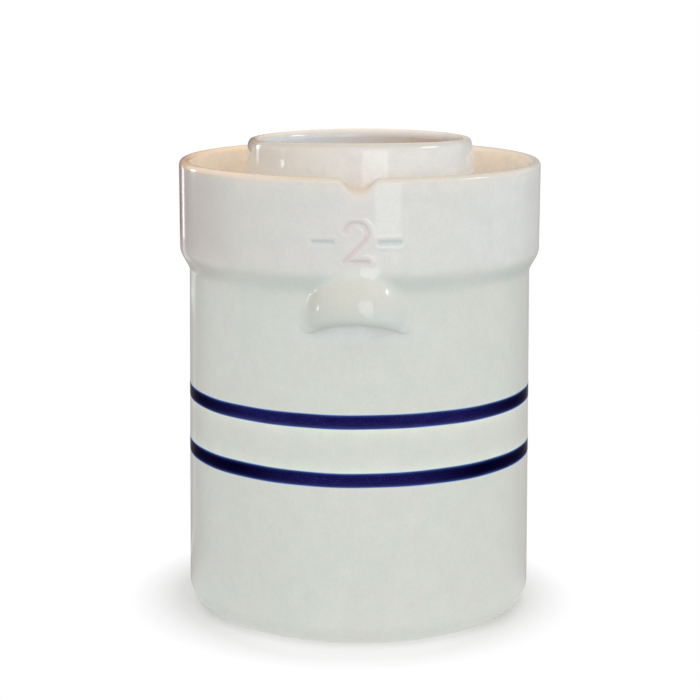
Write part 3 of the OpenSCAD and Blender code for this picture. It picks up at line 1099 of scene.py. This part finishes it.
def make_floor():
    """A white table, lit from within, that keeps a pale, soft shadow about the crock's foot."""
    mesh = bpy.data.meshes.new("floor")
    corners = [(x * FLOOR_HALF, y * FLOOR_HALF, 0) for x, y in ((-1, -1), (1, -1), (1, 1), (-1, 1))]
    mesh.from_pydata(corners, [], [(0, 1, 2, 3)])
    floor = add_object("floor", mesh)
    material = bpy.data.materials.new("floor")
    material.use_nodes = True
    tree = material.node_tree
    tree.nodes.remove(tree.nodes["Principled BSDF"])
    bounce = tree.nodes.new("ShaderNodeBsdfDiffuse")
    bounce.inputs["Color"].default_value = (FLOOR_BOUNCE, FLOOR_BOUNCE, FLOOR_BOUNCE, 1)
    glow = tree.nodes.new("ShaderNodeEmission")
    strength = ranged(tree, (0, 0, 0), FOOT_GLOW_FROM, FOOT_GLOW_TO, FOOT_GLOW, FLOOR_GLOW)
    tree.links.new(strength, glow.inputs["Strength"])
    table = tree.nodes.new("ShaderNodeAddShader")
    tree.links.new(bounce.outputs["BSDF"], table.inputs[0])
    tree.links.new(glow.outputs["Emission"], table.inputs[1])
    shade = tree.nodes.new("ShaderNodeBsdfDiffuse")
    shade.inputs["Color"].default_value = FLOOR_SHADE
    fade = tree.nodes.new("ShaderNodeMath")
    fade.operation = "MAXIMUM"
    # Painted light: white is mixed into the seen shadow away from the foot and in front of it.
    far = ranged(tree, FLOOR_SHADE_MIDDLE, FLOOR_WHITE_FROM, FLOOR_WHITE_TO, 0, 1)
    near = ranged(tree, FLOOR_LIFT_MIDDLE, FLOOR_LIFT_FROM, FLOOR_LIFT_TO, FLOOR_LIFT, 0)
    tree.links.new(far, fade.inputs[0])
    tree.links.new(near, fade.inputs[1])
    white = tree.nodes.new("ShaderNodeEmission")
    seen = tree.nodes.new("ShaderNodeMixShader")
    tree.links.new(fade.outputs["Value"], seen.inputs["Fac"])
    tree.links.new(shade.outputs["BSDF"], seen.inputs[1])
    tree.links.new(white.outputs["Emission"], seen.inputs[2])
    mix = tree.nodes.new("ShaderNodeMixShader")
    tree.links.new(seen_rays(tree), mix.inputs["Fac"])
    tree.links.new(table.outputs["Shader"], mix.inputs[1])
    tree.links.new(seen.outputs["Shader"], mix.inputs[2])
    tree.links.new(mix.outputs["Shader"], tree.nodes["Material Output"].inputs["Surface"])
    mesh.materials.append(material)


# Cards: their place, their colour, and how dark they are. A pair is the start of a fade and its length
CARD_R = 0.25
CARD_H = 0.56
CARD_SKIRT_R = 0.119
CARD_SKIRT_Z = 0.001
CARD_SKIRT_ROWS = 14
CARD_ROWS = 57
CARD_FROM = 50
CARD_TO = 180
CARD_BROWN = (0.130, 0.052, 0.038)
CARD_LEFT_DARK = 0.64
CARD_RIGHT_DARK = 0.55
CARD_FADE = (78, 34)
CARD_COLLAR_FADE = (57, 22)
CARD_COLLAR_LEVEL = (0.205, 0.03)
CARD_TOP_Z = 0.27
CARD_TOP_RISE = 0.22
CARD_TOP_CLIMB = (110, 30)
CARD_TOP_FADE = 0.06
# The slit in the left card, which is partly closed below a level, and an oval gap beside it
SLIT_ANGLE = 122.8
SLIT_W = 3.0
SLIT_LOW_SHARE = 0.35
SLIT_LEVEL = (0.16, 0.02)
SLIT_TOP = (0.30, 0.03)
GAP_SHARE = 0.9
GAP_ANGLE = SLIT_ANGLE + 5
GAP_W = 5
GAP_Z = 0.182
GAP_H = 0.010


def card_dark(side, angle, z):
    """Share of dark cloth in a card at an angle, in degrees from the front, and a height."""
    if side < 0:
        at_collar = ramp(z, *CARD_COLLAR_LEVEL)
        low = CARD_LEFT_DARK * ramp(angle, *CARD_FADE)
        dark = low * (1 - at_collar) + ramp(angle, *CARD_COLLAR_FADE) * at_collar
        share = SLIT_LOW_SHARE + (1 - SLIT_LOW_SHARE) * ramp(z, *SLIT_LEVEL)
        slit = hump(angle, SLIT_ANGLE, SLIT_W) * share * (1 - ramp(z, *SLIT_TOP))
        gap = GAP_SHARE * hump(angle, GAP_ANGLE, GAP_W) * hump(z, GAP_Z, GAP_H)
        dark *= (1 - slit) * (1 - gap)
    else:
        dark = CARD_RIGHT_DARK * ramp(angle, *CARD_FADE)
    top_z = CARD_TOP_Z + CARD_TOP_RISE * ramp(angle, *CARD_TOP_CLIMB)
    return dark * (1 - ramp(z, top_z, CARD_TOP_FADE))


def card(name, side):
    """A dark card, curved about the crock's axis, that shows only in reflections and fades at its borders.

    It lies on the table from the crock's foot outwards, and then stands up.
    """
    angles = np.linspace(CARD_FROM, CARD_TO, CARD_TO - CARD_FROM + 1)
    lying = np.linspace(CARD_SKIRT_R, CARD_R, CARD_SKIRT_ROWS, endpoint=False)
    standing = np.linspace(CARD_SKIRT_Z, CARD_H, CARD_ROWS)
    reach = np.concatenate([lying, np.full_like(standing, CARD_R)])
    height = np.concatenate([np.full_like(lying, CARD_SKIRT_Z), standing])
    angle, z = np.meshgrid(angles, height, indexing="ij")
    r = np.tile(reach, (len(angles), 1))
    index = np.arange(angle.size).reshape(angle.shape)
    mesh = bpy.data.meshes.new(name)
    points = at_angles(r, side * np.radians(angle), z)
    mesh.from_pydata(points.reshape(-1, 3).tolist(), [], grid_cells(index).tolist())
    layer = mesh.attributes.new("dark", "FLOAT", "POINT")
    layer.data.foreach_set("value", card_dark(side, angle, z).ravel())
    obj = add_object(name, mesh)
    material = bpy.data.materials.new(name)
    material.use_nodes = True
    tree = material.node_tree
    tree.nodes.remove(tree.nodes["Principled BSDF"])
    share = tree.nodes.new("ShaderNodeAttribute")
    share.attribute_name = "dark"
    clear = tree.nodes.new("ShaderNodeBsdfTransparent")
    cloth = tree.nodes.new("ShaderNodeBsdfDiffuse")
    cloth.inputs["Color"].default_value = (*CARD_BROWN, 1)
    mix = tree.nodes.new("ShaderNodeMixShader")
    tree.links.new(share.outputs["Fac"], mix.inputs["Fac"])
    tree.links.new(clear.outputs["BSDF"], mix.inputs[1])
    tree.links.new(cloth.outputs["BSDF"], mix.inputs[2])
    tree.links.new(mix.outputs["Shader"], tree.nodes["Material Output"].inputs["Surface"])
    mesh.materials.append(material)
    obj.visible_camera = False
    obj.visible_diffuse = False
    obj.visible_transmission = False
    obj.visible_shadow = False


def make_cards():
    """Cards that darken the glossy edges. A slit in the left one leaves a bright line on the collar."""
    card("card_left", -1)
    card("card_right", 1)


AIM = (0, 0, 0.2)
LAMP_DISTANCE = 1.8
COOL_LIGHT = (0.85, 0.93, 1.0)


def lamp(name, azimuth, elevation, size, power, colour=(1, 1, 1), lights=True, mirrored=True):
    """A rectangular lamp that looks at the crock. Azimuth is 0 in front and grows to the right.

    It lights the crock, or shows in its gloss, or does both.
    """
    data = bpy.data.lights.new(name, "AREA")
    data.shape = "RECTANGLE"
    data.size, data.size_y = size
    data.energy = power
    data.color = colour
    obj = add_object(name, data)
    az, el = math.radians(azimuth), math.radians(elevation)
    towards = np.array([math.sin(az) * math.cos(el), -math.cos(az) * math.cos(el), math.sin(el)])
    right = np.array([math.cos(az), math.sin(az), 0])
    up = np.cross(towards, right)
    place = np.array(AIM) + LAMP_DISTANCE * towards
    obj.matrix_world = Matrix([(right[i], up[i], towards[i], place[i]) for i in range(3)] + [(0, 0, 0, 1)])
    obj.visible_camera = False
    obj.visible_diffuse = lights
    obj.visible_glossy = mirrored


def make_lamps():
    """A soft key and fill from above, which aren't mirrored, and windows that the gloss shows.

    Two windows stand in front, three narrower ones on the left and behind, and a tube on the right.
    """
    lamp("key", 40, 45, (1.2, 1.2), 2.8, mirrored=False)
    lamp("fill", -40, 45, (1.2, 1.2), 2.4, mirrored=False)
    lamp("window", 16, 9, (0.80, 0.56), 4.0)
    lamp("window_low", 18, -3, (0.50, 0.24), 0.8)
    lamp("side_window", -82, 5.0, (0.14, 0.13), 0.5, COOL_LIGHT, lights=False)
    lamp("rear_window", -126, 4.5, (0.22, 0.60), 3.2, COOL_LIGHT, lights=False)
    lamp("slit_window", -146, -4, (0.19, 0.16), 0.15, lights=False)
    lamp("tube", 79, 25, (0.6, 0.24), 5.0, lights=False)


CAMERA_DISTANCE = 1.3389
CAMERA_HEIGHT = 0.4424
CAMERA_PITCH = math.radians(11.437)
CAMERA_YAW = math.radians(-0.266)
CAMERA_ROLL = math.radians(0.130)
CAMERA_ORBIT = math.radians(1.0)
CAMERA_LENS = 104.05
CAMERA_SENSOR = 36


def make_camera():
    """The camera in front of the crock, a little to the right and above it, looking down."""
    data = bpy.data.cameras.new("camera")
    data.lens = CAMERA_LENS
    data.sensor_width = CAMERA_SENSOR
    data.sensor_fit = "HORIZONTAL"
    camera = add_object("camera", data)
    stand = Matrix.Rotation(CAMERA_ORBIT, 4, "Z") @ Matrix.Translation((0, -CAMERA_DISTANCE, CAMERA_HEIGHT))
    level = Matrix.Rotation(-CAMERA_YAW, 4, "Z") @ Matrix.Rotation(math.pi / 2 - CAMERA_PITCH, 4, "X")
    camera.matrix_world = stand @ level @ Matrix.Rotation(CAMERA_ROLL, 4, "Z")
    bpy.context.scene.camera = camera


make_world()
make_floor()
make_cards()
make_lamps()
make_camera()
bpy.context.scene.view_settings.view_transform = "Standard"
